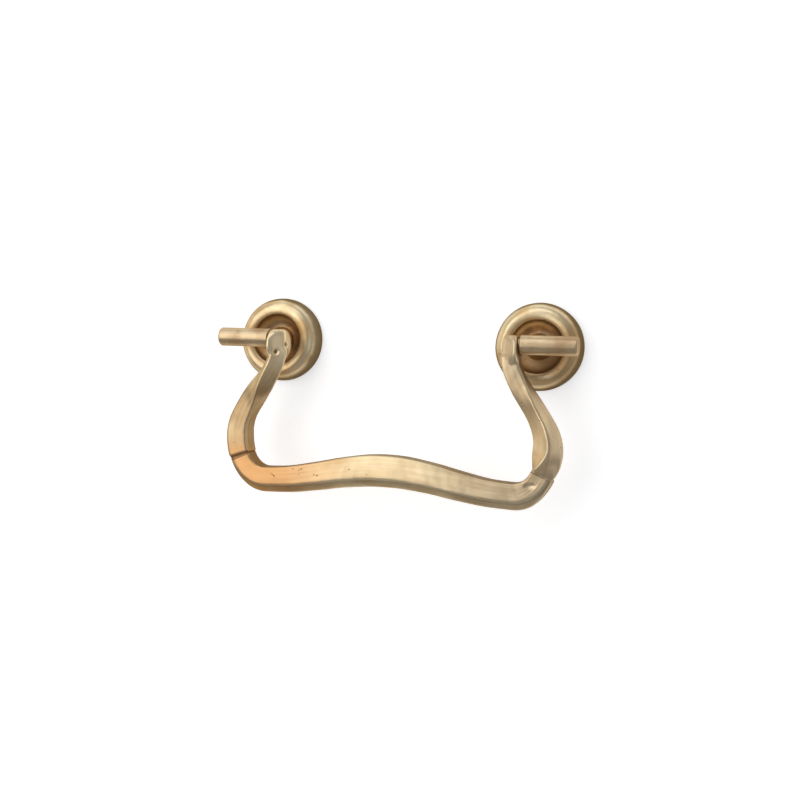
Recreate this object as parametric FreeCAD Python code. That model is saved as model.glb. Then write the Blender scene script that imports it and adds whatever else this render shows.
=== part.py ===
"""Bail pull for a drawer: an ogee bail that swings in two barrel posts, each through a dished ring rosette.

Millimetres. X runs to the right, Y into the drawer front and Z up. The origin is midway between the two
posts, on the drawer front. The bail hangs straight down, in front of the rosettes.
"""
import FreeCAD
import Part
import math
import os

from FreeCAD import Vector

# The two posts
post_spacing = 76.2
pivot_height = 15.8
barrel_radius = 2.6
barrel_inner = 2.5
barrel_outer = 12.6
barrel_edge = 0.6
neck_radius = 1.9
collar_radius = 3.7
collar_height = 1.0

# The rosettes
rosette_radius = 12.1
rosette_edge = 1.2
crest_radius = 9.1
crest_height = 6.2
mouth_radius = 7.3
mouth_drop = 0.7
floor_height = 2.2
bore_clearance = 0.12

# The shank and stud behind each post, with the washer and nut
seat_radius = 2.8
shank_radius = 2.4
shank_length = 6.0
thread_radius = 2.08
thread_proud = 2.0
thread_chamfer = 0.5
drawer_front = 19.0
washer_radius = 4.75
washer_thickness = 1.0
washer_clearance = 0.2
nut_flats = 8.7
nut_thickness = 3.3
nut_chamfer_angle = 30.0
thread_clearance = 0.03

# The knuckles and pins that carry the bail
knuckle_radius = 4.2
knuckle_drop = 1.7
knuckle_width = 4.7
knuckle_edge = 1.1
knuckle_gap = 0.35
dimple_radius = 1.0
dimple_depth = 0.5
pin_radius = 1.6
pin_length = 11.0
pin_chamfer = 0.4
pin_clearance = 0.1
pin_end_gap = 0.6

# The arms, of square stock turned on its corner
arm_flare = 10.9
bulge_drop = 27.0
arm_side_top = 4.3
arm_side_low = 5.3
arm_round = 0.9
arm_turn = 58.0
arm_turn_length = 7.0
arm_straight = 2.0

# The corners and the grip bar
corner_inset = 8.4
corner_drop = 12.7
bar_rise = 4.4
bar_height_middle = 8.8
bar_height_end = 7.3
bar_depth_middle = 6.2
bar_depth_end = 5.6
bar_round = 1.1
bar_bevel = 2.2
shoulder_angle = 32.0
shoulder_overlap = 16.0
shoulder_edge = 0.35

arm_stations = 9
corner_stations = 6
bar_stations = 15

# Places that follow from the sizes above
post_x = post_spacing / 2
stud_length = drawer_front + washer_thickness + nut_thickness + thread_proud
knuckle_x = post_x - barrel_inner - knuckle_gap - knuckle_width / 2
bulge_x = knuckle_x + arm_flare
corner_x = bulge_x - corner_inset
bar_end_drop = bulge_drop + corner_drop
bar_middle_drop = bar_end_drop - bar_rise


def ring(outer, inner, thickness, y):
    """A flat ring round the post's axis, from y on into the drawer."""
    disc = Part.makeCylinder(outer, thickness, Vector(0, y, 0), Vector(0, 1, 0))
    return disc.cut(Part.makeCylinder(inner, thickness, Vector(0, y, 0), Vector(0, 1, 0)))


def revolve_profile(edges):
    """Turns a closed outline of (radius, -height) points about the post's axis."""
    face = Part.Face(Part.Wire(edges))
    return face.revolve(Vector(0, 0, 0), Vector(0, 1, 0), 360)


def on_profile(radius, height):
    """The point of a turned outline that lies this far from the axis and ahead of the drawer front."""
    return Vector(radius, -height, 0)


def arc(start, middle, end):
    return Part.Arc(start, middle, end).toShape()


def line(start, end):
    return Part.LineSegment(start, end).toShape()


def make_rosette():
    """A ring with a round crest, dished to a flat floor that the post's collar clamps."""
    bore = seat_radius + bore_clearance
    mouth_height = crest_height - mouth_drop
    floor_radius = collar_radius + bore_clearance
    rim_low = on_profile(rosette_radius, 0)
    rim_top = on_profile(rosette_radius, rosette_edge)
    crest = on_profile(crest_radius, crest_height)
    mouth = on_profile(mouth_radius, mouth_height)
    floor_out = on_profile(floor_radius, floor_height)
    floor_in = on_profile(bore, floor_height)
    back_in = on_profile(bore, 0)

    half = math.sqrt(0.5)
    flank = on_profile(
        crest_radius + (rosette_radius - crest_radius) * half,
        rosette_edge + (crest_height - rosette_edge) * half)
    lip = on_profile(
        crest_radius - (crest_radius - mouth_radius) * half,
        crest_height - mouth_drop * (1 - half))
    dish = on_profile(
        floor_radius + (mouth_radius - floor_radius) * half,
        floor_height + (mouth_height - floor_height) * (1 - half))

    return revolve_profile([
        line(rim_low, rim_top),
        arc(rim_top, flank, crest),
        arc(crest, lip, mouth),
        arc(mouth, dish, floor_out),
        line(floor_out, floor_in),
        line(floor_in, back_in),
        line(back_in, rim_low),
    ])


def make_post(side):
    """A barrel on a waisted neck, with a collar on the rosette's floor and a stepped stud behind."""
    collar_top = floor_height + collar_height
    barrel_back = pivot_height - barrel_radius
    neck_middle = (collar_top + barrel_back) / 2
    axis_point = on_profile(0, pivot_height)
    head = on_profile(barrel_radius, pivot_height)
    head_foot = on_profile(barrel_radius, barrel_back)
    waist = on_profile(neck_radius, neck_middle)
    collar_rim = on_profile(collar_radius, collar_top)
    seat_rim = on_profile(collar_radius, floor_height)
    seat_in = on_profile(seat_radius, floor_height)
    seat_end = on_profile(seat_radius, 0)
    shank_start = on_profile(shank_radius, 0)
    shank_end = on_profile(shank_radius, -shank_length)
    thread_start = on_profile(thread_radius, -shank_length)
    thread_end = on_profile(thread_radius, thread_chamfer - stud_length)
    stud_tip = on_profile(thread_radius - thread_chamfer, -stud_length)
    stud_axis = on_profile(0, -stud_length)

    stem = revolve_profile([
        line(axis_point, head),
        line(head, head_foot),
        arc(head_foot, waist, collar_rim),
        line(collar_rim, seat_rim),
        line(seat_rim, seat_in),
        line(seat_in, seat_end),
        line(seat_end, shank_start),
        line(shank_start, shank_end),
        line(shank_end, thread_start),
        line(thread_start, thread_end),
        line(thread_end, stud_tip),
        line(stud_tip, stud_axis),
        line(stud_axis, axis_point),
    ])

    outward = Vector(side, 0, 0)
    barrel_foot = Vector(-side * barrel_inner, -pivot_height, 0)
    barrel = Part.makeCylinder(barrel_radius, barrel_inner + barrel_outer, barrel_foot, outward)
    barrel = barrel.makeFillet(barrel_edge, [far_edge(barrel, outward)])

    bore_length = knuckle_gap + pin_length + pin_end_gap
    bore_foot = Vector(barrel_foot.x - side * knuckle_gap, -pivot_height, 0)
    bore = Part.makeCylinder(pin_radius + pin_clearance, bore_length, bore_foot, outward)
    return stem.fuse(barrel).removeSplitter().cut(bore)


def far_edge(cylinder, direction):
    """The round edge at a cylinder's end that lies furthest in this direction."""
    rounds = [edge for edge in cylinder.Edges if isinstance(edge.Curve, Part.Circle)]
    return max(rounds, key=lambda edge: edge.Curve.Center.dot(direction))


def make_washer():
    return ring(washer_radius, thread_radius + washer_clearance, washer_thickness, drawer_front)


def make_nut():
    """A hexagon nut against the washer, its corners trimmed by a cone at each face."""
    start = Vector(0, drawer_front + washer_thickness, 0)
    into_drawer = Vector(0, 1, 0)
    corner_radius = nut_flats / math.sqrt(3)
    turns = [math.radians(60 * k) for k in range(7)]
    corners = [start + Vector(math.cos(turn), 0, math.sin(turn)) * corner_radius for turn in turns]
    hexagon = Part.Face(Part.makePolygon(corners)).extrude(into_drawer * nut_thickness)

    face_radius = nut_flats / 2
    wide_radius = face_radius + nut_thickness / math.tan(math.radians(nut_chamfer_angle))
    front_cone = Part.makeCone(face_radius, wide_radius, nut_thickness, start, into_drawer)
    back_cone = Part.makeCone(wide_radius, face_radius, nut_thickness, start, into_drawer)
    thread = Part.makeCylinder(thread_radius + thread_clearance, nut_thickness, start, into_drawer)
    return hexagon.common(front_cone).common(back_cone).cut(thread)


def half_wave(share):
    """Rises smoothly from 0 to 1, level at both ends."""
    return (1 - math.cos(math.pi * share)) / 2


def blend(start, end, share):
    return start + (end - start) * share


class Station:
    """A place on the bail's centre line: x, drop below the pivot, and the way it runs, in the bail's plane."""

    def __init__(self, x, drop, run_x, run_drop):
        length = math.hypot(run_x, run_drop)
        self.centre = Vector(x, -pivot_height, -drop)
        self.along = Vector(run_x / length, 0, -run_drop / length)
        self.outward = Vector(run_drop / length, 0, run_x / length)


def arm_station(drop):
    """The arm leaves the knuckle straight, then swings out to the bulge as half a cosine wave."""
    wave_drop = bulge_drop - arm_straight
    share = max(0.0, drop - arm_straight) / wave_drop
    x = blend(knuckle_x, bulge_x, half_wave(share))
    slope = arm_flare * math.pi / (2 * wave_drop) * math.sin(math.pi * share)
    return Station(x, drop, slope, 1)


def corner_station(angle):
    """The corner is a quarter of an ellipse, from the bulge (0 degrees) to the bar's end (90 degrees)."""
    turn = math.radians(angle)
    x = corner_x + corner_inset * math.cos(turn)
    drop = bulge_drop + corner_drop * math.sin(turn)
    return Station(x, drop, -corner_inset * math.sin(turn), corner_drop * math.cos(turn))


def bar_station(x):
    """The bar rises in an ogee from its ends to the middle, again as half cosine waves."""
    share = abs(x) / corner_x
    drop = blend(bar_middle_drop, bar_end_drop, half_wave(share))
    slope = bar_rise * math.pi / (2 * corner_x) * math.sin(math.pi * share) * math.copysign(1, x)
    return Station(x, drop, -1, -slope)


def section(station, height, depth, rounds, turn=0.0):
    """A rectangle across the centre line with rounded corners, turned by so many degrees about it.

    The corners come in the order outer front, inner front, inner back, outer back. Each has a radius and a
    bulge: 1 is a true round and 0 a flat bevel.
    """
    spin = math.radians(turn)
    across = station.outward * math.cos(spin) + Vector(0, -1, 0) * math.sin(spin)
    forward = Vector(0, -1, 0) * math.cos(spin) - station.outward * math.sin(spin)
    signs = [(1, 1), (-1, 1), (-1, -1), (1, -1)]

    def place(u, v):
        return station.centre + across * u + forward * v

    arcs = []
    for (sign_u, sign_v), (radius, bulge) in zip(signs, rounds):
        u = sign_u * height / 2
        v = sign_v * depth / 2
        sag = radius * (0.5 - bulge * (math.sqrt(0.5) - 0.5))
        corner_in_front = place(u, v - sign_v * radius)
        corner_across = place(u - sign_u * radius, v)
        middle = place(u - sign_u * sag, v - sign_v * sag)
        ends = (corner_in_front, corner_across)
        if sign_u * sign_v < 0:
            ends = (corner_across, corner_in_front)
        arcs.append((ends[0], middle, ends[1]))

    edges = []
    for number, corner in enumerate(arcs):
        edges.append(arc(*corner))
        edges.append(line(corner[2], arcs[(number + 1) % 4][0]))
    return Part.Wire(edges)


def arm_section(station, turn_share, low_share):
    """The arm's square: upright at the knuckle, and about on its corner further down."""
    side = blend(arm_side_top, arm_side_low, low_share)
    return section(station, side, side, [(arm_round, 1)] * 4, arm_turn * half_wave(turn_share))


def bar_section(station, middle_share):
    """The bar's upright section, with a wide bevel along its lower front edge."""
    height = blend(bar_height_end, bar_height_middle, middle_share)
    depth = blend(bar_depth_end, bar_depth_middle, middle_share)
    plain = (bar_round, 1)
    return section(station, height, depth, [(bar_bevel, 0.25), plain, plain, plain])


def make_arm():
    """The right arm, from inside its knuckle to inside the grip bar's shoulder."""
    wires = []
    for number in range(arm_stations):
        drop = bulge_drop * number / arm_stations
        turn_share = min(1.0, max(0.0, drop - arm_straight) / arm_turn_length)
        wires.append(arm_section(arm_station(drop), turn_share, drop / bulge_drop))
    last_angle = shoulder_angle + shoulder_overlap
    for number in range(corner_stations):
        angle = last_angle * number / (corner_stations - 1)
        wires.append(arm_section(corner_station(angle), 1.0, 1.0))
    return Part.makeLoft(wires, True, False)


def make_bar():
    """The grip bar and both corners up to the shoulders, as one loft from right to left."""
    stations = []
    for number in range(corner_stations):
        angle = blend(shoulder_angle, 90, number / corner_stations)
        stations.append((corner_station(angle), 0.0))
    for number in range(bar_stations):
        x = corner_x * (1 - 2 * number / (bar_stations - 1))
        stations.append((bar_station(x), half_wave(1 - abs(x) / corner_x)))

    wires = [bar_section(station, share) for station, share in stations]
    mirrored = [mirror_station(station) for station, _ in reversed(stations[:corner_stations])]
    wires += [bar_section(station, 0.0) for station in mirrored]
    bar = Part.makeLoft(wires, True, False)
    end_edges = []
    for face in bar.Faces:
        if isinstance(face.Surface, Part.Plane):
            end_edges += face.Edges
    return bar.makeFillet(shoulder_edge, end_edges)


def mirror_station(station):
    """The same place on the left half, met while going on from right to left."""
    x = -station.centre.x
    return Station(x, -station.centre.z, station.along.x, station.along.z)


def make_knuckle():
    """The right arm's round flat end, hung a little below the axis of the pin that turns in the barrel."""
    inner_x = knuckle_x - knuckle_width / 2
    outer_x = knuckle_x + knuckle_width / 2
    right = Vector(1, 0, 0)
    disc_start = Vector(inner_x, -pivot_height, -knuckle_drop)
    disc = Part.makeCylinder(knuckle_radius, knuckle_width, disc_start, right)
    rounds = [edge for edge in disc.Edges if isinstance(edge.Curve, Part.Circle)]
    disc = disc.makeFillet(knuckle_edge, rounds)
    pin = Part.makeCylinder(pin_radius, pin_length + knuckle_gap, Vector(outer_x, -pivot_height, 0), right)
    pin = pin.makeChamfer(pin_chamfer, [far_edge(pin, right)])
    return disc.fuse(pin)


def make_dimple():
    """The small hollow at the middle of the right knuckle's inner face."""
    ball_radius = (dimple_radius ** 2 + dimple_depth ** 2) / (2 * dimple_depth)
    ball_x = knuckle_x - knuckle_width / 2 + dimple_depth - ball_radius
    return Part.makeSphere(ball_radius, Vector(ball_x, -pivot_height, -knuckle_drop))


def make_bail():
    """One casting: the bar, and on each side an arm, a knuckle and a pin."""
    half = make_arm().fuse(make_knuckle()).cut(make_dimple())
    other = half.mirror(Vector(0, 0, 0), Vector(1, 0, 0))
    return make_bar().fuse([half, other]).removeSplitter()


def write(name, shape, x=0.0):
    """Moves a piece modelled on its post's axis to that post, and writes it."""
    placed = shape.copy()
    placed.translate(Vector(x, 0, 0))
    if len(placed.Solids) == 1:
        placed = placed.Solids[0]
    placed.exportStep(os.path.join("parts", name + ".step"))


os.makedirs("parts", exist_ok=True)
write("bail", make_bail())
for side_name, side in (("left", -1), ("right", 1)):
    write(side_name + "_rosette", make_rosette(), side * post_x)
    write(side_name + "_post", make_post(side), side * post_x)
    write(side_name + "_washer", make_washer(), side * post_x)
    write(side_name + "_nut", make_nut(), side * post_x)
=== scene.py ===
"""Looks of a cast brass bail pull: a hand-finished bail, turned posts and dished rosettes on a pale panel.

Lengths are millimetres in the functions that shape a piece, and metres from put_mesh on. X runs to the right,
Y into the drawer front and Z up, as in the solids.
"""

import math
from typing import NamedTuple

import bpy
import numpy as np
from mathutils import Matrix, Vector


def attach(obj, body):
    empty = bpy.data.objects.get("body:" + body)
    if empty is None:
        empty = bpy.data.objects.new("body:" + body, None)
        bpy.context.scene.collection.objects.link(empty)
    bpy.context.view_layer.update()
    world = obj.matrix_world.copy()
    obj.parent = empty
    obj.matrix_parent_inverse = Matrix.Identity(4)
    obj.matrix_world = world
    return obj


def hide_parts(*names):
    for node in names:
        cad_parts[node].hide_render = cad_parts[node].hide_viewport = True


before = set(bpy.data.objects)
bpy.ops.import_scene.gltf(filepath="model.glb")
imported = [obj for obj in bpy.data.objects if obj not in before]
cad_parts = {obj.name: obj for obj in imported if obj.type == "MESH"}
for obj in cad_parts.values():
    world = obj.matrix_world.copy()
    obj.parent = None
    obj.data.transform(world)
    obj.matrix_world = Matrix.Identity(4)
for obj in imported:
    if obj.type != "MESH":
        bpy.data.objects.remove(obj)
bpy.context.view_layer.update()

MM = 0.001
SIDES = {"left": -1, "right": 1}
SHARP_EDGE = math.radians(38.0)

# The posts and the hinge line
POST_X = 38.1
PIVOT_HEIGHT = 15.8
BARREL_RADIUS = 2.6
BARREL_INNER = 2.5
BARREL_OUTER = 12.6
BARREL_EDGE = 0.6
BARREL_INNER_EDGE = 0.2
BORE_RADIUS = 1.7
BORE_LENGTH = 11.95
BORE_START = 0.35

# The stem of a post, from its top inside the barrel to the stud's tip
STEM_TOP_RADIUS = 0.98 * BARREL_RADIUS
WAIST_RADIUS = 1.9
COLLAR_RADIUS = 3.7
COLLAR_TOP = 3.2
COLLAR_EASE = 0.02
FLOOR_HEIGHT = 2.2
SEAT_RADIUS = 2.8
SHANK_RADIUS = 2.4
SHANK_LENGTH = 6.0
THREAD_RADIUS = 2.08
THREAD_DEPTH = 0.40
THREAD_PITCH = 0.794
THREAD_FLAT = 0.1
THREAD_STEP = THREAD_PITCH / 11
STUD_LENGTH = 25.3
STUD_CHAMFER = 0.5

# The rosettes
ROSETTE_RADIUS = 12.1
ROSETTE_EDGE = 1.2
CREST_RADIUS = 9.1
CREST_HEIGHT = 6.2
MOUTH_RADIUS = 7.3
MOUTH_HEIGHT = 5.5
FLOOR_RADIUS = 3.82
ROSETTE_BORE = 2.92
BACK_ROUND = 0.3
ROSETTE_WOBBLE = 0.035

# The bail's knuckles and pins; the powers say how fast a knuckle's sides draw in towards its top
KNUCKLE_X = 32.9
KNUCKLE_RADIUS = 4.2
KNUCKLE_DROP = 1.7
KNUCKLE_FOOT = KNUCKLE_DROP + KNUCKLE_RADIUS
KNUCKLE_HALF_WIDTH = 2.35
KNUCKLE_POWER = 0.3
KNUCKLE_BLEND = 1.0
KNUCKLE_RUN_IN = 1.0
KNUCKLE_SHARPNESS = 7.0
CROWN_REACH = 2.0
LEAST_CHORD = 0.004
FACET_ANGLE = math.radians(128.0)
FACET_DISTANCE = 2.3
FACET_POWER = 0.6
DIMPLE_RADIUS = 1.0
DIMPLE_DEPTH = 0.5
PIN_RADIUS = 1.6
PIN_ROOT = 1.2
PIN_END = 46.6
PIN_CHAMFER = 0.4

# The bail's arms; each twist has the turns of the arm's square and the drops that they are at
ARM_FLARE = 10.9
ARM_STRAIGHT = 2.0
BULGE_DROP = 27.0
ARM_SIDE_TOP = 4.3
ARM_SIDE_LOW = 6.2
LEFT_TWIST_DROPS = (9.0, 22.0)
LEFT_TWIST_TURNS = (math.radians(30.0), math.radians(90.0))
RIGHT_TWIST_DROPS = (8.0, 19.0, 26.0, 36.0)
RIGHT_TWIST_TURNS = (0.0, math.radians(33.0), math.radians(35.0), math.radians(90.0))
LEFT_WAIST = 0.08
RIGHT_WAIST = 0.19
WAIST_DROP = 17.0
WAIST_REACH = 6.5
ARM_SHARPNESS = 9.0

# The bail's corners and grip bar
CORNER_INSET = 8.4
CORNER_DROP = 12.7
CORNER_X = KNUCKLE_X + ARM_FLARE - CORNER_INSET
BAR_RISE = 4.4
BAR_END_DROP = BULGE_DROP + CORNER_DROP
BAR_HEIGHT_MIDDLE = 8.8
BAR_HEIGHT_END = 7.3
BAR_DEPTH_MIDDLE = 6.2
BAR_DEPTH_END = 5.6
BAR_BEVEL = 2.2
BAR_SHARPNESS = 15.0
SHOULDER_ANGLE = math.radians(32.0)
SHOULDER_BLEND = 0.5
SHOULDER_TAPER_START = 9.0
SHOULDER_TAPER_END = 0.5
SHOULDER_INSET = 0.8
SHOULDER_OUTER_INSET = 0.4
SHOULDER_BEVEL = 0.9
LEFT_GROOVE_DEPTH = 0.38
RIGHT_GROOVE_DEPTH = 0.16
GROOVE_RISE = 0.5
GROOVE_WIDTH = 0.45

# Painted shade on the bail's flats: the bar's top, lower bevel and underside and the arm's side flats are
# darkened for the dark surroundings they mirror, as a share of a full cover
INNER_SHADE = 0.75
BEVEL_SHADE = 0.6
UNDERSIDE_SHADE = 0.5
ARM_SIDE_SHADE = 0.25

# The bail's rings of points, and the steps between them along it
RING_POINTS = 112
RING_STEP = 0.42
SHOULDER_STEP = 0.09
SHOULDER_STEP_REACH = 1.1
KNUCKLE_STEP_LESS = 0.2
KNUCKLE_STEP_REACH = 7.0
CROWN_RINGS = 24
CROWN_END = 0.99995


# The bail's dents

class Dent(NamedTuple):
    """A dent in the bail's right half: its place, radii and depth, the way the surface faces, and its dirt
    versus sheen: 1 for a dark dirty dent, 0 for a dent painted pale as fresh metal and painted highlight.
    """
    place: tuple
    radii: tuple
    depth: float
    facing: float
    dirt_versus_sheen: float


KNUCKLE_PIT = Dent((32.7, -18.1, -3.9), (1.0, 1.0, 1.0), 0.7, FACET_ANGLE, 1.0)
CORNER_NICK = Dent((39.9, -18.6, -36.4), (1.7, 1.2, 0.75), 0.35, math.radians(90.0), 0.0)


# Meshes from grids

def put_mesh(name, points, closed_rows=False, attributes=None):
    """Makes a mesh of one grid: rows of points round a closed ring, one ring after the other.

    The first and the last ring are each closed by a fan onto their middle point, unless the rings themselves
    close up into a loop. The faces are turned so that the volume they enclose is positive.
    """
    rows, columns = points.shape[:2]
    index = np.arange(rows * columns).reshape(rows, columns)
    ring = index if not closed_rows else np.vstack([index, index[:1]])
    beside = np.roll(ring, -1, axis=1)
    quads = np.stack([ring[:-1], beside[:-1], beside[1:], ring[1:]], axis=-1).reshape(-1, 4)
    corners = points.reshape(-1, 3)
    triangles = np.empty((0, 3), int)
    if not closed_rows:
        ends = np.stack([points[0].mean(axis=0), points[-1].mean(axis=0)])
        first = np.full(columns, len(corners))
        last = first + 1
        corners = np.vstack([corners, ends])
        triangles = np.vstack([
            np.stack([np.roll(index[0], -1), index[0], first], axis=-1),
            np.stack([index[-1], np.roll(index[-1], -1), last], axis=-1)])

    halves = np.vstack([quads[:, [0, 1, 2]], quads[:, [0, 2, 3]], triangles])
    a, b, c = (corners[halves[:, side]] for side in range(3))
    if np.einsum("ij,ij->", a, np.cross(b, c)) < 0:
        quads = quads[:, ::-1]
        triangles = triangles[:, ::-1]

    mesh = bpy.data.meshes.new(name)
    mesh.from_pydata(corners * MM, [], quads.tolist() + triangles.tolist())
    mesh.polygons.foreach_set("use_smooth", np.ones(len(mesh.polygons), bool))
    for attribute, values in (attributes or {}).items():
        is_vector = values.ndim == 3
        width = 3 if is_vector else 1
        flat = np.zeros(len(corners) * width, np.float32)
        flat[:values.size] = values.ravel()
        layer = mesh.attributes.new(attribute, "FLOAT_VECTOR" if is_vector else "FLOAT", "POINT")
        layer.data.foreach_set("vector" if is_vector else "value", flat)
    piece = bpy.data.objects.new(name, mesh)
    bpy.context.scene.collection.objects.link(piece)
    return piece


def combine(base, others, operation):
    """Joins other pieces to a piece, or cuts them out of it, and keeps the result as its mesh."""
    for other in others:
        modifier = base.modifiers.new("combine", "BOOLEAN")
        modifier.operation = operation
        modifier.solver = "EXACT"
        modifier.object = other
    bpy.context.view_layer.update()
    graph = bpy.context.evaluated_depsgraph_get()
    joined = bpy.data.meshes.new_from_object(base.evaluated_get(graph))
    base.modifiers.clear()
    base.data = joined
    for other in others:
        bpy.data.objects.remove(other)
    return base


def half_wave(share):
    """Rises smoothly from 0 to 1, level at both ends: half a cosine wave."""
    return (1 - np.cos(np.pi * np.clip(share, 0, 1))) / 2


def blend(start, end, share):
    return start + (end - start) * share


def soft_step(low, high, value):
    """0 below low, 1 above high, and a smooth cubic between them."""
    share = np.clip((value - low) / (high - low), 0, 1)
    return share * share * (3 - 2 * share)


def soft_larger(one, other, reach):
    """The larger of two lengths, with a fillet where they differ by less than the reach."""
    return np.maximum(one, other) + np.maximum(reach - np.abs(one - other), 0) ** 2 / (4 * reach)


def three_point_arc(start, middle, end, count):
    """Points along the circle through three points, equally spaced in angle from the first to the last."""
    (ax, ay), (bx, by), (cx, cy) = start, middle, end
    twice_area = 2 * (ax * (by - cy) + bx * (cy - ay) + cx * (ay - by))
    squares = (ax * ax + ay * ay, bx * bx + by * by, cx * cx + cy * cy)
    middle_x = (squares[0] * (by - cy) + squares[1] * (cy - ay) + squares[2] * (ay - by)) / twice_area
    middle_y = (squares[0] * (cx - bx) + squares[1] * (ax - cx) + squares[2] * (bx - ax)) / twice_area
    turns = np.unwrap(np.arctan2([ay - middle_y, by - middle_y, cy - middle_y],
                                 [ax - middle_x, bx - middle_x, cx - middle_x]))
    angles = np.linspace(turns[0], turns[2], count)
    radius = math.hypot(ax - middle_x, ay - middle_y)
    return np.stack([middle_x + radius * np.cos(angles), middle_y + radius * np.sin(angles)], axis=-1)


def straight(start, end, count):
    """Points along a straight line, equally spaced, its end left out."""
    return np.linspace(start, end, count, endpoint=False)


def ellipse_arc(centre, radii, angles):
    """Points of an ellipse at these angles: its centre plus (a cos t, b sin t)."""
    return np.stack([centre[0] + radii[0] * np.cos(angles), centre[1] + radii[1] * np.sin(angles)], axis=-1)


def whole_turn(columns):
    """The angles of the columns of a turned piece, as one row."""
    return straight(0, 2 * np.pi, columns)[None, :]


def about_hinge(outline, side, columns):
    """An outline of (distance along X, radius) points turned about the hinge line, to the left or the right.

    A point at distance x and radius r lies at (side x, -p + r cos t, r sin t), with p the pivot's height.
    """
    turn = whole_turn(columns)
    x, radius = outline[:, :1], outline[:, 1:]
    y = -PIVOT_HEIGHT + radius * np.cos(turn)
    return np.stack([side * x + 0 * turn, y, radius * np.sin(turn)], axis=-1)


def turned(outline, columns, centre_x, wobble=0.0):
    """An outline of (radius, height ahead of the drawer front) points turned about the post's axis.

    A point at radius r and height h lies at (x + r cos t, -h, r sin t). The wobble shifts each radius and
    height by slow waves round the axis, as hand finishing leaves them.
    """
    turn = whole_turn(columns)
    radius, height = outline[:, :1], outline[:, 1:]
    uneven = wobble * (np.sin(2 * turn + 0.7) + 0.7 * np.sin(3 * turn + 2.1 + 0.2 * height)
                       + 0.4 * np.sin(7 * turn + 0.9 * radius))
    r = radius + uneven * np.minimum(radius / ROSETTE_RADIUS, 1) * (height > 0)
    h = height + 0.6 * uneven * soft_step(2.5, 5.5, height)
    return np.stack([centre_x + r * np.cos(turn), -h + 0 * turn, r * np.sin(turn)], axis=-1)


# The bail

def soft_flats(angles, flats, sharpness):
    """The outline of a bar ground to flats, as its radius in each direction, and each flat's share in it.

    A flat whose normal points at angle n, at distance d, alone gives the radius d / cos(t - n). Together the
    reciprocal radius is the p-norm of those reciprocals, so p sets how sharp the arrises between flats are.
    """
    pulls = [(np.maximum(np.cos(angles - normal), 0) / distance) ** sharpness for normal, distance in flats]
    pulls = np.stack(np.broadcast_arrays(*pulls))
    total = pulls.sum(axis=0)
    return total ** (-1 / sharpness), pulls / total


def arris_nearness(shares):
    """1 on an arris, where two flats have equal shares, and 0 in the middle of a flat."""
    return np.clip(2 * (1 - shares.max(axis=0)), 0, 1)


def half_path():
    """The bail's centre line as points (x, z), from the middle of the bar to the right knuckle's top.

    Half a cosine wave along the bar, a quarter ellipse round the corner, half a cosine wave up the arm, then
    straight up. Returns the points, their lengths along the line, and those of the shoulder and of the
    knuckle's middle.
    """
    bar_x = straight(0, CORNER_X, 500)
    bar_drop = BAR_END_DROP - BAR_RISE + BAR_RISE * half_wave(bar_x / CORNER_X)
    corner_middle = (CORNER_X, BULGE_DROP)
    corner_radii = (CORNER_INSET, CORNER_DROP)
    corner_x, corner_drop = ellipse_arc(corner_middle, corner_radii, straight(np.pi / 2, 0, 300)).T
    arm_drop = straight(BULGE_DROP, ARM_STRAIGHT, 400)
    arm_x = KNUCKLE_X + ARM_FLARE * half_wave((arm_drop - ARM_STRAIGHT) / (BULGE_DROP - ARM_STRAIGHT))
    top_drop = np.linspace(ARM_STRAIGHT, KNUCKLE_DROP - KNUCKLE_RADIUS, 200)
    x = np.concatenate([bar_x, corner_x, arm_x, np.full_like(top_drop, KNUCKLE_X)])
    z = -np.concatenate([bar_drop, corner_drop, arm_drop, top_drop])
    length = np.concatenate([[0], np.cumsum(np.hypot(np.diff(x), np.diff(z)))])
    shoulder_x, shoulder_drop = ellipse_arc(corner_middle, corner_radii, SHOULDER_ANGLE)
    shoulder = length[np.argmin(np.hypot(x - shoulder_x, z + shoulder_drop))]
    knuckle = length[-1] - KNUCKLE_RADIUS
    return x, z, length, shoulder, knuckle


def station_lengths(shoulder, knuckle):
    """Where along the line the rings are: even steps, closer at the shoulder and towards the knuckle.

    Round the knuckle's top they are at equal angles.
    """
    fine = np.linspace(0, knuckle, 8000)
    at_shoulder = np.exp(-((fine - shoulder) / SHOULDER_STEP_REACH) ** 2)
    at_knuckle = soft_step(knuckle - KNUCKLE_STEP_REACH, knuckle, fine)
    step = blend(RING_STEP, SHOULDER_STEP, at_shoulder) - KNUCKLE_STEP_LESS * at_knuckle
    count = np.concatenate([[0], np.cumsum(np.diff(fine) / step[1:])])
    along = np.interp(np.linspace(0, count[-1], int(count[-1])), count, fine)
    crown_turns = np.linspace(0, np.pi / 2, CROWN_RINGS + 2)[1:-1]
    crown_heights = np.append(np.sin(crown_turns), CROWN_END)
    return np.concatenate([along, knuckle + KNUCKLE_RADIUS * crown_heights])


def casting_waves(along, angles):
    """How far hand finishing leaves the bail high or low, in mm: slow waves along it and round it."""
    return (0.03 * np.sin(0.31 * along + 2 * angles + 0.4) + 0.02 * np.sin(0.67 * along - angles + 1.9)
            + 0.012 * np.sin(1.9 * along + 3 * angles) * np.sin(0.11 * along))


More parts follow.
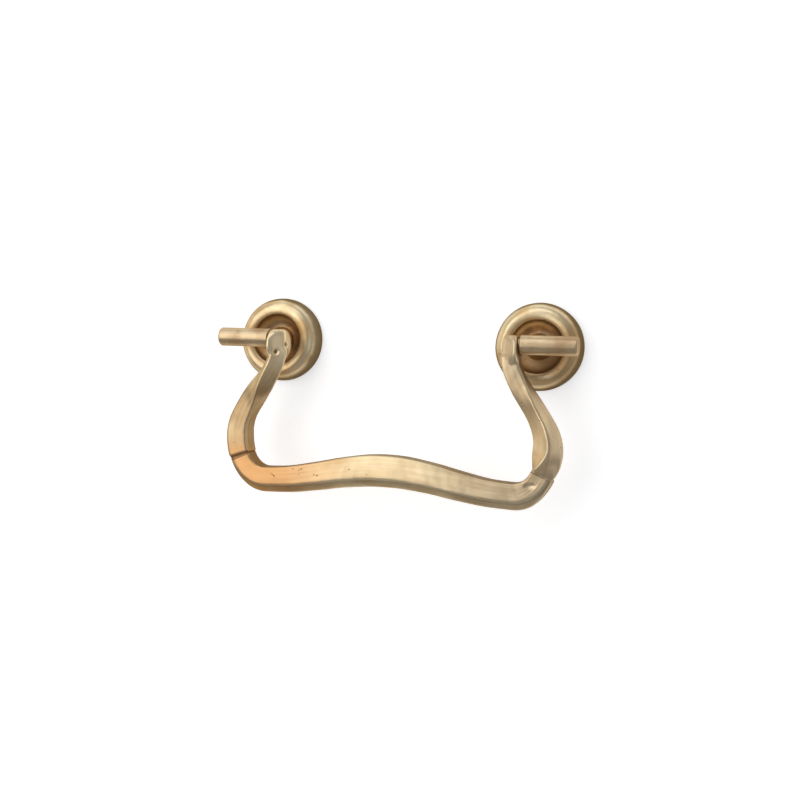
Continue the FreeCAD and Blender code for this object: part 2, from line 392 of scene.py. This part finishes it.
def bail_half(twist_drops, twist_turns, waist, groove_depth, dent):
    """The bail's right half, as a section carried along the centre line.

    Up to the shoulder the section is the bar's: five flats, one of them the lower front bevel. Above it the
    section is the arm's square, which goes from each turn of its twist to the next as half a cosine wave, and
    is slimmer by a bell curve's share at its waist. It is joined by a fillet to the knuckle's slice, a box as
    deep as the chord of the knuckle's circle with a facet across its inner front corner. A groove runs round
    the arm just above the shoulder.

    Returns the points, and for the material how far each is on an arris or in a clean dent (both painted
    paler, partly wear and partly a painted highlight), in a dirty recess and on a flat with painted shade,
    and its place on the bail laid out straight.
    """
    x, z, length, shoulder, knuckle = half_path()
    along = station_lengths(shoulder, knuckle)
    centre_x = np.interp(along, length, x)
    centre_z = np.interp(along, length, z)
    run_x = np.interp(along, length, np.gradient(x, length))
    run_z = np.interp(along, length, np.gradient(z, length))
    speed = np.hypot(run_x, run_z)
    outward = np.stack([run_z / speed, 0 * speed, -run_x / speed], axis=-1)
    outward[0] = (0, 0, -1)
    front = np.array([0.0, -1.0, 0.0])

    angles = whole_turn(RING_POINTS)
    s = along[:, None]
    drop = -centre_z[:, None]
    middle_share = half_wave(1 - centre_x[:, None] / CORNER_X)
    near_shoulder = soft_step(shoulder - SHOULDER_TAPER_START, shoulder - SHOULDER_TAPER_END, s)
    height = blend(BAR_HEIGHT_END, BAR_HEIGHT_MIDDLE, middle_share) / 2
    outer = height - SHOULDER_OUTER_INSET * near_shoulder
    inner = height - SHOULDER_INSET * near_shoulder
    depth = blend(BAR_DEPTH_END, BAR_DEPTH_MIDDLE, middle_share) / 2
    bevel = (outer + depth - blend(BAR_BEVEL, SHOULDER_BEVEL, near_shoulder)) / math.sqrt(2)
    bar_flats = [(0.0, outer), (np.pi / 4, bevel), (np.pi / 2, depth), (np.pi, inner), (1.5 * np.pi, depth)]
    bar, bar_shares = soft_flats(angles, bar_flats, BAR_SHARPNESS)

    side = blend(ARM_SIDE_TOP, ARM_SIDE_LOW, np.clip(drop / BULGE_DROP, 0, 1)) / 2
    side = side * (1 - waist * np.exp(-((drop - WAIST_DROP) / WAIST_REACH) ** 2))
    turn = twist_turns[0]
    for low, high, before, after in zip(twist_drops, twist_drops[1:], twist_turns, twist_turns[1:]):
        turn = turn + (after - before) * half_wave((drop - low) / (high - low))
    arm_flats = [(turn + quarter * np.pi / 2, side) for quarter in range(4)]
    arm, arm_shares = soft_flats(angles, arm_flats, ARM_SHARPNESS)

    rise = np.clip((s - knuckle) / KNUCKLE_RADIUS, -1, 1)
    chord = np.maximum(np.sqrt(1 - rise ** 2), LEAST_CHORD)
    knuckle_flats = [(FACET_ANGLE, FACET_DISTANCE * chord ** FACET_POWER)]
    for quarter in range(2):
        knuckle_flats.append((quarter * np.pi, KNUCKLE_HALF_WIDTH * chord ** KNUCKLE_POWER))
        knuckle_flats.append(((quarter + 0.5) * np.pi, KNUCKLE_RADIUS * chord))
    disc, disc_shares = soft_flats(angles, knuckle_flats, KNUCKLE_SHARPNESS)
    on_knuckle = soft_step(KNUCKLE_FOOT, KNUCKLE_FOOT - KNUCKLE_RUN_IN, drop)
    arm = blend(arm, soft_larger(arm, disc, KNUCKLE_BLEND), on_knuckle)
    crown = soft_step(knuckle - CROWN_REACH, knuckle, s)
    arm = blend(arm, disc, crown)
    arm_arris = blend(arris_nearness(arm_shares), arris_nearness(disc_shares), np.maximum(on_knuckle, crown))

    share = soft_step(shoulder - SHOULDER_BLEND / 2, shoulder + SHOULDER_BLEND / 2, s)
    groove = np.exp(-((s - shoulder - GROOVE_RISE) / GROOVE_WIDTH) ** 2)
    uneven = casting_waves(s, angles) * soft_step(knuckle + 2.0, knuckle - 3.0, s)
    radius = blend(bar, arm, share) - groove_depth * groove + uneven
    arris = blend(arris_nearness(bar_shares), arm_arris, share) * (1 - groove)
    # Painted shade: the bar's top, lower bevel and underside and the arm's side flats get a dark colour for
    # the dark surroundings they mirror.
    bar_shade = INNER_SHADE * bar_shares[3] + BEVEL_SHADE * bar_shares[1] + UNDERSIDE_SHADE * bar_shares[0]
    sideways = [soft_step(0.75, 0.2, np.sin(normal)) for normal, _ in arm_flats]
    arm_side_shade = ARM_SIDE_SHADE * sum(flat * away for flat, away in zip(arm_shares, sideways)) * (1 - on_knuckle)
    painted_shade = blend(bar_shade, arm_side_shade, share)

    across = radius * np.cos(angles)
    ahead = radius * np.sin(angles)
    centre = np.stack([centre_x, np.full_like(centre_x, -PIVOT_HEIGHT), centre_z], axis=-1)
    points = centre[:, None, :] + across[..., None] * outward[:, None, :] + ahead[..., None] * front

    # The hollow in the knuckle's inner face and the dent are caps of paraboloids
    away = np.hypot(points[..., 1] + PIVOT_HEIGHT, points[..., 2] + KNUCKLE_DROP) / DIMPLE_RADIUS
    inner_face = (points[..., 0] < KNUCKLE_X) * (drop < KNUCKLE_FOOT)
    hollow = inner_face * np.maximum(1 - away ** 2, 0)
    from_dent = np.linalg.norm((points - np.array(dent.place)) / np.array(dent.radii), axis=-1)
    dented = np.maximum(1 - from_dent ** 2, 0)
    inward = np.array([-math.cos(dent.facing), math.sin(dent.facing), 0.0])
    points[..., 0] += DIMPLE_DEPTH * hollow
    points += dent.depth * dented[..., None] * inward
    # A clean dent is painted paler along with the arrises: partly fresh metal, partly a painted highlight.
    arris = np.maximum(arris, dented * (1 - dent.dirt_versus_sheen))
    recess = np.maximum(np.maximum(hollow, dented * dent.dirt_versus_sheen), groove * groove_depth / LEFT_GROOVE_DEPTH)
    grain = np.stack([s + 0 * across, across, ahead], axis=-1) * MM
    return points, {"arris": arris, "recess": recess, "painted_shade": painted_shade, "grain": grain}


def make_bail():
    """One casting: both halves as one run of rings from the left knuckle to the right one."""
    right, right_marks = bail_half(
        RIGHT_TWIST_DROPS, RIGHT_TWIST_TURNS, RIGHT_WAIST, RIGHT_GROOVE_DEPTH, CORNER_NICK)
    left, left_marks = bail_half(
        LEFT_TWIST_DROPS, LEFT_TWIST_TURNS, LEFT_WAIST, LEFT_GROOVE_DEPTH, KNUCKLE_PIT)
    left[..., 0] *= -1
    left_marks["grain"][..., 0] *= -1
    points = np.concatenate([left[:0:-1], right])
    marks = {name: np.concatenate([left_marks[name][:0:-1], right_marks[name]]) for name in right_marks}
    return put_mesh("bail_casting", points, attributes=marks)


def make_pin(hand):
    """One of the bail's turned pins: an outline of (length, radius) points turned about the hinge line."""
    start = KNUCKLE_X + KNUCKLE_HALF_WIDTH - PIN_ROOT
    outline = np.concatenate([
        straight((start, PIN_RADIUS), (PIN_END - PIN_CHAMFER, PIN_RADIUS), 30),
        straight((PIN_END - PIN_CHAMFER, PIN_RADIUS), (PIN_END, PIN_RADIUS - PIN_CHAMFER), 4),
        [(PIN_END, PIN_RADIUS - PIN_CHAMFER)]])
    return put_mesh(hand + "_pin", about_hinge(outline, SIDES[hand], 48))


# The posts

def stem_outline():
    """The stem's outline from inside the barrel to the stud's tip, as (radius, height) points."""
    shaft = -SHANK_LENGTH
    thread_end = STUD_CHAMFER - STUD_LENGTH
    barrel_back = PIVOT_HEIGHT - BARREL_RADIUS
    waist = (WAIST_RADIUS, (COLLAR_TOP + barrel_back) / 2)
    neck = three_point_arc((BARREL_RADIUS, barrel_back), waist, (COLLAR_RADIUS, COLLAR_TOP), 60)
    thread_rows = int((STUD_LENGTH - SHANK_LENGTH) / THREAD_STEP)
    return np.concatenate([
        straight((STEM_TOP_RADIUS, PIVOT_HEIGHT), (BARREL_RADIUS, barrel_back), 14),
        neck,
        straight((COLLAR_RADIUS, COLLAR_TOP - COLLAR_EASE), (COLLAR_RADIUS, FLOOR_HEIGHT), 5),
        straight((COLLAR_RADIUS, FLOOR_HEIGHT), (SEAT_RADIUS, FLOOR_HEIGHT), 4),
        straight((SEAT_RADIUS, FLOOR_HEIGHT), (SEAT_RADIUS, 0), 5),
        straight((SEAT_RADIUS, 0), (SHANK_RADIUS, 0), 3),
        straight((SHANK_RADIUS, 0), (SHANK_RADIUS, shaft), 14),
        straight((SHANK_RADIUS, shaft), (THREAD_RADIUS, shaft), 3),
        straight((THREAD_RADIUS, shaft), (THREAD_RADIUS, thread_end), thread_rows),
        straight((THREAD_RADIUS, thread_end), (THREAD_RADIUS - STUD_CHAMFER, -STUD_LENGTH), 6),
        [(THREAD_RADIUS - STUD_CHAMFER, -STUD_LENGTH)]])


def cut_thread(points, centre_x):
    """Cuts a right-hand thread into the stud: each point moves in by the depth times a triangle wave.

    The wave's phase is the distance into the drawer over the pitch, plus the turn round the axis. Its crests
    and roots are flat. The cut runs in over one pitch behind the shank, and out on the tip's chamfer.
    """
    x = points[..., 0] - centre_x
    deep = points[..., 1]
    z = points[..., 2]
    phase = deep / THREAD_PITCH + np.arctan2(z, x) / (2 * np.pi)
    wave = np.abs(2 * (phase - np.floor(phase)) - 1)
    flank = np.clip((wave - THREAD_FLAT) / (1 - 2 * THREAD_FLAT), 0, 1)
    run_in = soft_step(SHANK_LENGTH, SHANK_LENGTH + THREAD_PITCH, deep)
    radius = np.hypot(x, z)
    room = np.clip((radius - THREAD_RADIUS + THREAD_DEPTH) / THREAD_DEPTH, 0, 1)
    share = 1 - THREAD_DEPTH * flank * run_in * room / radius
    points[..., 0] = centre_x + x * share
    points[..., 2] = z * share
    return points


def make_post(hand):
    """A turned barrel joined to a turned stem with a threaded stud, and a blind bore for the bail's pin."""
    side = SIDES[hand]
    centre_x = side * POST_X
    stem = put_mesh(hand + "_post_turning", cut_thread(turned(stem_outline(), 72, centre_x), centre_x))
    inner = POST_X - BARREL_INNER
    outer = POST_X + BARREL_OUTER
    inner_middle = (inner + BARREL_INNER_EDGE, BARREL_RADIUS - BARREL_INNER_EDGE)
    end_in = ellipse_arc(inner_middle, (BARREL_INNER_EDGE,) * 2, np.linspace(np.pi, np.pi / 2, 6))
    outer_middle = (outer - BARREL_EDGE, BARREL_RADIUS - BARREL_EDGE)
    end_out = ellipse_arc(outer_middle, (BARREL_EDGE,) * 2, np.linspace(np.pi / 2, 0, 12))
    body = straight(end_in[-1], end_out[0], 40)[1:]
    barrel = put_mesh("barrel", about_hinge(np.concatenate([end_in, body, end_out]), side, 72))
    start = inner - BORE_START
    bore_wall = np.linspace((start, BORE_RADIUS), (start + BORE_LENGTH, BORE_RADIUS), 12)
    bore = put_mesh("bore", about_hinge(bore_wall, side, 48))
    post = combine(combine(stem, [barrel], "UNION"), [bore], "DIFFERENCE")
    post.data.set_sharp_from_angle(angle=SHARP_EDGE)
    return post


# The rosettes

def rosette_outline():
    """The rosette's closed outline, as (radius, height): rim, round crest, dish, floor, bore and back."""
    quarter = straight(0, np.pi / 2, 34)
    back_turn = straight(-np.pi / 2, 0, 7)
    rim_size = (ROSETTE_RADIUS - CREST_RADIUS, CREST_HEIGHT - ROSETTE_EDGE)
    lip_size = (CREST_RADIUS - MOUTH_RADIUS, CREST_HEIGHT - MOUTH_HEIGHT)
    dish_size = (MOUTH_RADIUS - FLOOR_RADIUS, MOUTH_HEIGHT - FLOOR_HEIGHT)
    return np.concatenate([
        ellipse_arc((ROSETTE_RADIUS - BACK_ROUND, BACK_ROUND), (BACK_ROUND,) * 2, back_turn),
        straight((ROSETTE_RADIUS, BACK_ROUND), (ROSETTE_RADIUS, ROSETTE_EDGE), 5),
        ellipse_arc((CREST_RADIUS, ROSETTE_EDGE), rim_size, quarter),
        ellipse_arc((CREST_RADIUS, MOUTH_HEIGHT), lip_size, np.pi / 2 + quarter),
        ellipse_arc((FLOOR_RADIUS, MOUTH_HEIGHT), dish_size, -quarter),
        straight((FLOOR_RADIUS, FLOOR_HEIGHT), (ROSETTE_BORE, FLOOR_HEIGHT), 5),
        straight((ROSETTE_BORE, FLOOR_HEIGHT), (ROSETTE_BORE, 0), 6),
        straight((ROSETTE_BORE, 0), (ROSETTE_RADIUS - BACK_ROUND, 0), 20)])


def make_rosette(hand):
    """A ring-shaped casting: the closed outline turned about the post's axis, a little uneven."""
    points = turned(rosette_outline(), 160, SIDES[hand] * POST_X, ROSETTE_WOBBLE)
    rosette = put_mesh(hand + "_rosette_casting", points, closed_rows=True)
    rosette.data.set_sharp_from_angle(angle=SHARP_EDGE)
    return rosette


# Materials

class Value:
    """One output of a material's nodes. Sums, differences and products of it add Math nodes."""

    def __init__(self, tree, socket):
        self.tree = tree
        self.socket = socket

    def node(self, kind, settings=None, sockets=None, output=0):
        """Adds a node of this type: its settings first, then the values or links of its sockets."""
        made = self.tree.nodes.new(kind)
        for name, setting in (settings or {}).items():
            setattr(made, name, setting)
        for key, value in (sockets or {}).items():
            if isinstance(value, Value):
                self.tree.links.new(value.socket, made.inputs[key])
            else:
                made.inputs[key].default_value = value
        return Value(self.tree, made.outputs[output])

    def maths(self, operation, one, other):
        return self.node("ShaderNodeMath", {"operation": operation}, {0: one, 1: other})

    def __add__(self, other):
        return self.maths("ADD", self, other)

    def __radd__(self, other):
        return self.maths("ADD", other, self)

    def __sub__(self, other):
        return self.maths("SUBTRACT", self, other)

    def __rsub__(self, other):
        return self.maths("SUBTRACT", other, self)

    def __mul__(self, other):
        return self.maths("MULTIPLY", self, other)

    def __rmul__(self, other):
        return self.maths("MULTIPLY", other, self)

    def step(self, low, high):
        """0 where this is at low and 1 where it is at high, smooth between; low may be the larger."""
        settings = {"interpolation_type": "SMOOTHSTEP"}
        return self.node("ShaderNodeMapRange", settings, {"Value": self, "From Min": low, "From Max": high})

    def tint(self, under, over):
        """A colour that goes from one to the other with this value, as its Mix factor.

        A Mix node has its colours in sockets 6 and 7, and the mixed colour in output 2.
        """
        settings = {"data_type": "RGBA", "clamp_factor": True}
        return self.node("ShaderNodeMix", settings, {0: self, 6: under, 7: over}, 2)

    def noise(self, scale, detail):
        """Soft noise at these coordinates, about 1 / scale metres from blotch to blotch."""
        return self.node("ShaderNodeTexNoise", None, {"Vector": self, "Scale": scale, "Detail": detail})

    def spots(self, scale):
        """The distance to the nearest of many scattered points, in shares of their spacing."""
        return self.node("ShaderNodeTexVoronoi", {"feature": "F1"}, {"Vector": self, "Scale": scale})

    def part(self, axis):
        """One coordinate of these coordinates, 0 for X, 1 for Y and 2 for Z."""
        return self.node("ShaderNodeSeparateXYZ", None, {0: self}, axis)

    def stretched(self, scale):
        """These coordinates scaled by a factor on each axis."""
        return self.node("ShaderNodeVectorMath", {"operation": "MULTIPLY"}, {0: self, 1: scale})

    def attribute(self, name, output=2):
        """An attribute of the mesh, as a number from output 2 or as coordinates from output 1."""
        return self.node("ShaderNodeAttribute", {"attribute_name": name}, None, output)

    def bump(self, strength, distance):
        """A normal bumped by this value as its height, the distance in metres."""
        sockets = {"Strength": strength, "Distance": distance, "Height": self}
        return self.node("ShaderNodeBump", None, sockets)


def new_material(name):
    """A material with nothing in it but its output, and its Object coordinates as a Value."""
    material = bpy.data.materials.new(name)
    material.use_nodes = True
    tree = material.node_tree
    tree.nodes.clear()
    end = tree.nodes.new("ShaderNodeOutputMaterial")
    source = tree.nodes.new("ShaderNodeTexCoord")
    return material, Value(tree, source.outputs["Object"]), end


def finish_material(place, end, shader):
    place.tree.links.new(shader.socket, end.inputs["Surface"])


def metal(place, colour, rough, bump, edge):
    """A bare metal shader; the edge colour tints what it mirrors at a grazing angle."""
    return place.node("ShaderNodeBsdfPrincipled", None, {
        "Base Color": colour, "Metallic": 1.0, "Roughness": rough, "Normal": bump, "Specular Tint": edge})


def rgb(red, green, blue):
    return (red, green, blue, 1.0)


GOLD = rgb(0.66, 0.45, 0.22)
PALE_GOLD = rgb(0.82, 0.68, 0.44)
ORANGE = rgb(0.60, 0.31, 0.12)
TAN = rgb(0.58, 0.37, 0.20)
BROWN = rgb(0.40, 0.27, 0.14)
# A brown for painted shade towards the bail's right.
RIGHT_SHADE_BROWN = rgb(0.46, 0.35, 0.24)
LATHE_BROWN = rgb(0.48, 0.33, 0.19)
# A dark brown for painted shade, on the bail's flats and at the rosettes' rims.
SHADE_BROWN = rgb(0.15, 0.11, 0.065)
# Colours for painted reflection and painted shade in the rosettes' dishes.
DISH_REFLECTION_ORANGE = rgb(0.70, 0.41, 0.20)
DISH_SHADE_BROWN = rgb(0.40, 0.27, 0.155)
DARK_BROWN = rgb(0.13, 0.065, 0.028)
PIT_BROWN = rgb(0.10, 0.055, 0.025)
BRASS_EDGE = rgb(0.55, 0.46, 0.35)
ZINC_GREY = rgb(0.66, 0.65, 0.62)
ZINC_YELLOW = rgb(0.60, 0.56, 0.46)
ZINC_DULL = rgb(0.50, 0.50, 0.49)
STEEL_EDGE = rgb(0.9, 0.9, 0.9)


def cast_pits(place, scale, size):
    """Scattered casting pits: small dots round scattered points, kept only where a slow noise is high."""
    sway = place.node("ShaderNodeTexNoise", None, {"Vector": place, "Scale": scale * 2.5}, 1)
    settings = {"operation": "MULTIPLY_ADD"}
    swayed = place.node("ShaderNodeVectorMath", settings, {0: sway, 1: (0.4 / scale,) * 3, 2: place})
    near = swayed.spots(scale).step(size, size * 0.45)
    kept = place.noise(scale * 0.45, 1.0).step(0.63, 0.69)
    return near * kept


def bail_brass():
    """Satin cast brass: blotches from gold to orange, painted shade towards the right and on the flats that
    mirror dark surroundings, a painted highlight on the right arm's inner face, pits, and arrises painted
    paler, partly rubbed bright and partly a painted highlight.
    """
    material, place, end = new_material("bail_brass_satin")
    across = place.part(0)
    up = place.part(2)
    arris = place.attribute("arris")
    recess = place.attribute("recess")
    painted_shade = place.attribute("painted_shade")
    grain = place.attribute("grain", 1)
    blotch = place.noise(70, 4.0).step(0.34, 0.70)
    streaks = grain.stretched((70, 1100, 1100)).noise(1.0, 3.0).step(0.35, 0.65)
    pits = cast_pits(place, 750, 0.22)
    fine = place.noise(2600, 3.0)
    warm_end = across.step(-0.004, -0.034) * up.step(-0.024, -0.033)
    # Painted light: the right arm's inner face, which faces the lamps on the left, is kept out of the painted
    # shade.
    lit_inner_arm = across.step(0.0445, 0.0425) * up.step(-0.034, -0.030) * up.step(-0.014, -0.020)
    # Painted shade: browner towards the right, away from the lamps on the left.
    right_shade = across.step(0.006, 0.030) * 0.5 * (1.0 - lit_inner_arm)
    dull_arm = across.step(-0.026, -0.034) * up.step(-0.036, -0.028) * up.step(-0.006, -0.016)

    colour = (blotch * 0.6 + streaks * 0.3).tint(PALE_GOLD, GOLD)
    colour = (warm_end * 0.9 + blotch * 0.08).tint(colour, ORANGE)
    # Painted shade towards the right.
    colour = (right_shade * (0.6 + 0.3 * blotch + 0.5 * streaks)).tint(colour, RIGHT_SHADE_BROWN)
    colour = (dull_arm * (0.5 + 0.3 * blotch + 0.2 * streaks)).tint(colour, BROWN)
    # Painted shade: dark brown on the flats that mirror dark surroundings.
    colour = (painted_shade * (0.8 + 0.3 * blotch)).tint(colour, SHADE_BROWN)
    # Arrises and the clean dent are painted paler: partly rubbed bright by wear, partly a painted highlight.
    colour = (arris.step(0.45, 1.0) * 0.6).tint(colour, PALE_GOLD)
    colour = (pits * 0.8).tint(colour, PIT_BROWN)
    colour = (recess.step(0.25, 0.8) * 0.8).tint(colour, DARK_BROWN)

    rough = 0.30 + 0.08 * blotch + 0.12 * fine - 0.06 * arris
    relief = fine * 0.35 + place.noise(420, 2.0) * 1.2 + streaks * 0.5 - pits * 2.2
    finish_material(place, end, metal(place, colour, rough, relief.bump(0.5, 0.00006), BRASS_EDGE))
    return material


def rosette_brass():
    """Polished cast brass with painted shade: brown in the dish with painted orange reflections, dark at the
    rim's foot, and darker low on the right rosette.
    """
    material, place, end = new_material("rosette_brass_polished")
    across = place.part(0)
    up = place.part(2)
    off_axis = place.node("ShaderNodeMath", {"operation": "ABSOLUTE"}, {0: across}) - POST_X * MM
    squared = off_axis * off_axis + up * up
    radius = place.node("ShaderNodeMath", {"operation": "SQRT"}, {0: squared})
    blotch = place.noise(140, 4.0).step(0.36, 0.66)
    fine = place.noise(2400, 3.0)
    patches = place.noise(330, 2.0).step(0.44, 0.60)
    pits = cast_pits(place, 620, 0.2)
    # Painted light: the lower part of the right rosette's dish faces up towards the lamps and keeps less of
    # the dish's painted shade.
    lit_lower_dish = up.step(-0.001, -0.004) * across.step(-0.01, 0.01)
    dish = (radius + blotch * 0.0005).step(0.0068, 0.0055) * (1.0 - 0.9 * lit_lower_dish)
    # Painted shade: darker on the right of the left rosette's dish, beside the knuckle.
    shaded_dish_side = across.step(-0.0375, -0.0340) * across.step(-0.020, -0.030)
    # Painted shade: a darker reflection painted on the outer flank below the top.
    flank = radius.step(0.0098, 0.0115) * up.step(0.010, 0.003)
    foot = (radius + blotch * 0.0002).step(0.0110, 0.0118)
    # Painted shade: browner low on the right rosette's right side, away from the lamps on the left.
    shaded_right_side = across.step(0.032, 0.048) * up.step(0.009, 0.003)

    colour = blotch.tint(PALE_GOLD, GOLD)
    # Painted shade: tan towards the bottom, which the lamps above light less.
    colour = (up.step(0.003, -0.009) * 0.25).tint(colour, TAN)
    # Painted shade low on the right rosette's right side.
    colour = (shaded_right_side * 0.65).tint(colour, BROWN)
    # Painted shade on the outer flank.
    colour = (flank * 0.3).tint(colour, BROWN)
    # Painted shade in the dish, with patches of painted orange reflection.
    dish_colour = (shaded_dish_side * 0.6).tint(patches.tint(DISH_SHADE_BROWN, DISH_REFLECTION_ORANGE), DARK_BROWN)
    colour = dish.tint(colour, dish_colour)
    # Painted shade: dark at the rim's foot, where the rosette meets the panel.
    colour = (foot * 0.9).tint(colour, SHADE_BROWN)
    colour = (pits * 0.75).tint(colour, PIT_BROWN)

    rough = 0.31 + 0.09 * blotch + 0.09 * fine
    relief = fine * 0.3 + place.noise(800, 2.0) * 1.2 - pits * 2.0
    finish_material(place, end, metal(place, colour, rough, relief.bump(0.45, 0.00006), BRASS_EDGE))
    return material


def post_brass():
    """Turned brass: fine rings from the lathe along the barrel, and a dull browner stud behind."""
    material, place, end = new_material("post_brass_turned")
    blotch = place.noise(160, 3.0).step(0.36, 0.68)
    rings = place.stretched((5200, 260, 260)).noise(1.0, 2.0)
    behind = place.part(1).step(-0.001, 0.001)
    in_dish = place.part(1).step(-0.0105, -0.006)
    under = place.part(2).step(0.0012, -0.0018)
    pits = cast_pits(place, 820, 0.18)

    colour = (0.45 + 0.55 * blotch).tint(PALE_GOLD, LATHE_BROWN)
    # Painted shade: browner under the barrel and on the stem inside the dish.
    colour = (under * 0.35).tint(colour, BROWN)
    colour = (in_dish * 0.6).tint(colour, BROWN)
    colour = (behind * 0.35).tint(colour, GOLD)
    colour = (pits * 0.6).tint(colour, PIT_BROWN)

    rough = 0.31 + 0.08 * blotch + 0.06 * rings + 0.05 * behind
    relief = rings * 0.8 - pits * 1.5
    finish_material(place, end, metal(place, colour, rough, relief.bump(0.35, 0.00004), BRASS_EDGE))
    return material


def plated_steel():
    """Zinc-plated steel: pale grey with a faint yellow cast in blotches, and a fine spangle."""
    material, place, end = new_material("plated_steel_zinc")
    blotch = place.noise(300, 3.0).step(0.35, 0.7)
    spangle = place.spots(2200)

    colour = blotch.tint(ZINC_GREY, ZINC_YELLOW)
    colour = (spangle * 0.25).tint(colour, ZINC_DULL)

    rough = 0.30 + 0.14 * spangle + 0.08 * blotch
    finish_material(place, end, metal(place, colour, rough, spangle.bump(0.25, 0.00004), STEEL_EDGE))
    return material


# The stage, lights and camera

PANEL_GREY = rgb(0.8, 0.8, 0.8)
PANEL_LIFT = 0.55
PANEL_HALF = 0.9
PANEL_FOOT = -0.17
FLOOR_Z = -0.60
FLOOR_PALE = rgb(0.80, 0.80, 0.79)
FLOOR_GREY = rgb(0.76, 0.76, 0.75)
ROOM_COLOUR = rgb(0.9, 0.93, 1.0)
ROOM_STRENGTH = 0.34
LAMP_AIM = (0.0, 0.0, -0.015)
WHITE = rgb(1.0, 1.0, 1.0)


def panel_white():
    """The backdrop: matt white that keeps shadows, lifted to white for the camera and for reflections.

    From behind it is clear, so that the studs and nuts can be seen.
    """
    material, place, end = new_material("panel_white")
    seen = place.node("ShaderNodeLightPath", None, None, "Is Camera Ray")
    for ray in ("Is Glossy Ray", "Is Transmission Ray"):
        seen = seen + place.node("ShaderNodeLightPath", None, None, ray)
    matt = place.node("ShaderNodeBsdfDiffuse", None, {"Color": PANEL_GREY})
    glow = place.node("ShaderNodeEmission", None, {"Color": WHITE, "Strength": seen * PANEL_LIFT})
    lit = place.node("ShaderNodeAddShader", None, {0: matt, 1: glow})
    clear = place.node("ShaderNodeBsdfTransparent", None, {"Color": WHITE})
    behind = place.node("ShaderNodeNewGeometry", None, None, "Backfacing")
    finish_material(place, end, place.node("ShaderNodeMixShader", None, {0: behind, 1: lit, 2: clear}))
    return material


def floor_pale():
    """A plain pale matt floor with a faint mottle."""
    material, place, end = new_material("floor_pale")
    colour = place.noise(6, 2.0).tint(FLOOR_PALE, FLOOR_GREY)
    shader = place.node("ShaderNodeBsdfPrincipled", None, {"Base Color": colour, "Roughness": 0.7})
    finish_material(place, end, shader)
    return material


def flat_sheet(name, corners, material):
    """A flat four-cornered sheet of the stage."""
    mesh = bpy.data.meshes.new(name)
    mesh.from_pydata(corners, [], [(0, 1, 2, 3)])
    mesh.materials.append(material)
    sheet = bpy.data.objects.new(name, mesh)
    bpy.context.scene.collection.objects.link(sheet)


def softbox(name, place, width, height, power, colour=(1, 1, 1)):
    """A rectangular lamp that faces the pull, its size in metres and its power in watts."""
    lamp = bpy.data.lights.new(name, "AREA")
    lamp.shape = "RECTANGLE"
    lamp.size = width
    lamp.size_y = height
    lamp.energy = power
    lamp.color = colour
    holder = bpy.data.objects.new(name, lamp)
    holder.location = place
    aim = Vector(LAMP_AIM) - Vector(place)
    holder.rotation_euler = aim.to_track_quat("-Z", "Y").to_euler()
    bpy.context.scene.collection.objects.link(holder)


def set_stage():
    """A pale panel in the drawer front's plane, a pale floor below it, a grey room and four softboxes."""
    half = PANEL_HALF
    front = [(-half, 0, PANEL_FOOT), (half, 0, PANEL_FOOT), (half, 0, half), (-half, 0, half)]
    flat_sheet("panel", front, panel_white())
    flat = [(-half, -half, FLOOR_Z), (half, -half, FLOOR_Z), (half, half, FLOOR_Z), (-half, half, FLOOR_Z)]
    flat_sheet("floor", flat, floor_pale())

    world = bpy.data.worlds.new("room")
    world.use_nodes = True
    backdrop = world.node_tree.nodes["Background"]
    backdrop.inputs["Color"].default_value = ROOM_COLOUR
    backdrop.inputs["Strength"].default_value = ROOM_STRENGTH
    bpy.context.scene.world = world

    softbox("key_left", (-0.28, -0.54, 0.06), 0.40, 0.62, 1.25, (1.0, 0.97, 0.92))
    softbox("side_left", (-0.60, -0.11, 0.04), 0.22, 0.50, 0.36, (1.0, 0.94, 0.84))
    softbox("top", (-0.10, -0.34, 0.46), 0.60, 0.40, 0.86)
    softbox("fill_right", (0.47, -0.38, 0.02), 0.16, 0.60, 0.20)


CAMERA_PLACE = (84.67, -280.19, -7.72)
CAMERA_YAW = math.radians(17.12)
CAMERA_PITCH = math.radians(1.67)
CAMERA_ROLL = math.radians(2.12)
FOCAL_PIXELS = 1023.8
IMAGE_PIXELS = 800
SENSOR = 36.0


def set_camera():
    """The photograph's viewpoint: close by, to the right of the middle, nearly level and tilted a little."""
    level = math.cos(CAMERA_PITCH)
    forward = Vector((-math.sin(CAMERA_YAW) * level, math.cos(CAMERA_YAW) * level, -math.sin(CAMERA_PITCH)))
    right = Vector((math.cos(CAMERA_YAW), math.sin(CAMERA_YAW), 0))
    up = right.cross(forward)
    tilted_right = right * math.cos(CAMERA_ROLL) + up * math.sin(CAMERA_ROLL)
    tilted_up = up * math.cos(CAMERA_ROLL) - right * math.sin(CAMERA_ROLL)
    lens = bpy.data.cameras.new("camera")
    lens.sensor_width = SENSOR
    lens.lens = FOCAL_PIXELS / IMAGE_PIXELS * SENSOR
    lens.clip_start = 0.01
    camera = bpy.data.objects.new("camera", lens)
    turn = Matrix((tilted_right, tilted_up, -forward)).transposed().to_4x4()
    camera.matrix_world = Matrix.Translation(Vector(CAMERA_PLACE) * MM) @ turn
    bpy.context.scene.collection.objects.link(camera)
    bpy.context.scene.camera = camera


def dress(piece, body, material, node):
    """Gives a piece its material and body, and lets it stand for its CAD node."""
    piece.data.materials.clear()
    piece.data.materials.append(material)
    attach(piece, body)
    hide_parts(node)


set_camera()
set_stage()
bpy.context.scene.view_settings.view_transform = "Standard"

bail_finish = bail_brass()
post_finish = post_brass()
rosette_finish = rosette_brass()
steel_finish = plated_steel()

dress(make_bail(), "bail", bail_finish, "bail")
for hand in SIDES:
    dress(make_pin(hand), "bail", bail_finish, "bail")
    dress(make_post(hand), "fixture", post_finish, hand + "_post")
    dress(make_rosette(hand), "fixture", rosette_finish, hand + "_rosette")
    for fastener in ("_washer", "_nut"):
        fastener_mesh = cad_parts[hand + fastener].data
        fastener_mesh.materials.clear()
        fastener_mesh.materials.append(steel_finish)
